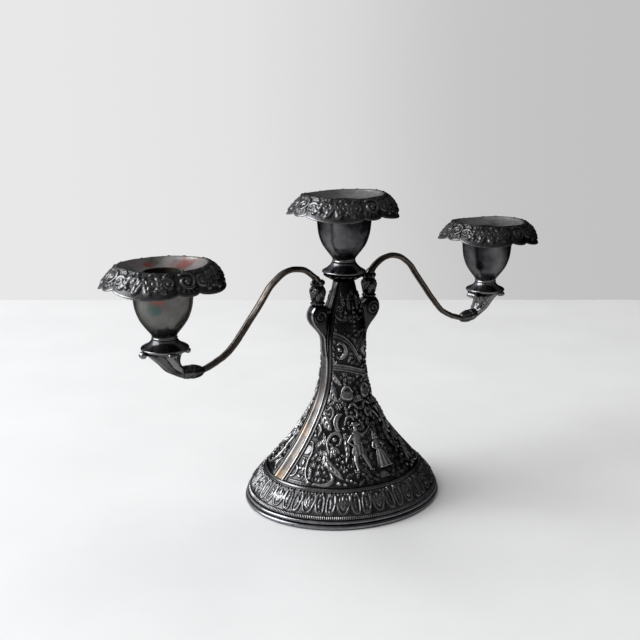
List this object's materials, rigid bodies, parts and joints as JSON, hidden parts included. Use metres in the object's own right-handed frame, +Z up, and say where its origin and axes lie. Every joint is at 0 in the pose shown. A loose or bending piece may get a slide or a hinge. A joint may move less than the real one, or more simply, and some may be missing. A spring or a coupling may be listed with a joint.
{
  "type": "candelabrum",
  "caption": "Table candelabrum with an embossed oval foot, removable S-shaped arms, tulip cups and lift-out scalloped drip pans.",
  "frame": {"origin": "centre of the oval foot's underside, on the surface it stands on", "axes": "+X along the arms, from the stem towards the right arm; -Y towards the front face with the figures; +Z up"},
  "size_m": [0.3612, 0.1316, 0.219],
  "materials": {
    "embossed_silver": "satin",
    "smooth_silver": "gloss",
    "worn_plate": "satin",
    "steel": "satin"
  },
  "bodies": {
    "stand": {"foot_rim": "embossed_silver", "foot_border": "embossed_silver", "body_front_shell": "embossed_silver", "body_back_shell": "embossed_silver", "left_side_strap": "worn_plate", "right_side_strap": "worn_plate", "left_volute_bracket": "worn_plate", "right_volute_bracket": "worn_plate", "neck_collar": "embossed_silver", "centre_cup_foot": "smooth_silver", "centre_cup": "smooth_silver", "tie_rod": "steel", "clamp_plate": "steel", "tie_rod_washer": "steel", "tie_rod_nut": "steel"},
    "centre_pan": {"centre_drip_pan": "embossed_silver", "centre_candle_tube": "smooth_silver"},
    "left_tenon": {"left_arm_tenon": "steel"},
    "left_arm": {"left_ferrule": "embossed_silver", "left_ferrule_cap": "embossed_silver", "left_arm_rod": "worn_plate", "left_arm_knob": "smooth_silver", "left_elbow_bracket": "smooth_silver", "left_cup_foot": "smooth_silver", "left_cup": "smooth_silver", "left_cup_screw": "steel"},
    "left_pan": {"left_drip_pan": "embossed_silver", "left_candle_tube": "smooth_silver"},
    "right_tenon": {"right_arm_tenon": "steel"},
    "right_arm": {"right_ferrule": "embossed_silver", "right_ferrule_cap": "embossed_silver", "right_arm_rod": "worn_plate", "right_arm_knob": "smooth_silver", "right_elbow_bracket": "smooth_silver", "right_cup_foot": "smooth_silver", "right_cup": "smooth_silver", "right_cup_screw": "steel"},
    "right_pan": {"right_drip_pan": "embossed_silver", "right_candle_tube": "smooth_silver"}
  },
  "joints": [
    {"name": "centre_pan_lift", "type": "slide", "parent": "stand", "child": "centre_pan", "axis": [0, 0, 1], "range_m": [0, 0.03]},
    {"name": "left_arm_lift", "type": "slide", "parent": "stand", "child": "left_tenon", "axis": [0, 0, 1], "range_m": [0, 0.02]},
    {"name": "left_arm_swivel", "type": "hinge", "parent": "left_tenon", "child": "left_arm", "pos_m": [-0.0228, 0, 0.143], "axis": [0, 0, 1], "range_deg": [-75, 75]},
    {"name": "left_pan_lift", "type": "slide", "parent": "left_arm", "child": "left_pan", "axis": [0, 0, 1], "range_m": [0, 0.03]},
    {"name": "right_arm_lift", "type": "slide", "parent": "stand", "child": "right_tenon", "axis": [0, 0, 1], "range_m": [0, 0.02]},
    {"name": "right_arm_swivel", "type": "hinge", "parent": "right_tenon", "child": "right_arm", "pos_m": [0.0228, 0, 0.143], "axis": [0, 0, 1], "range_deg": [-75, 75]},
    {"name": "right_pan_lift", "type": "slide", "parent": "right_arm", "child": "right_pan", "axis": [0, 0, 1], "range_m": [0, 0.03]}
  ]
}
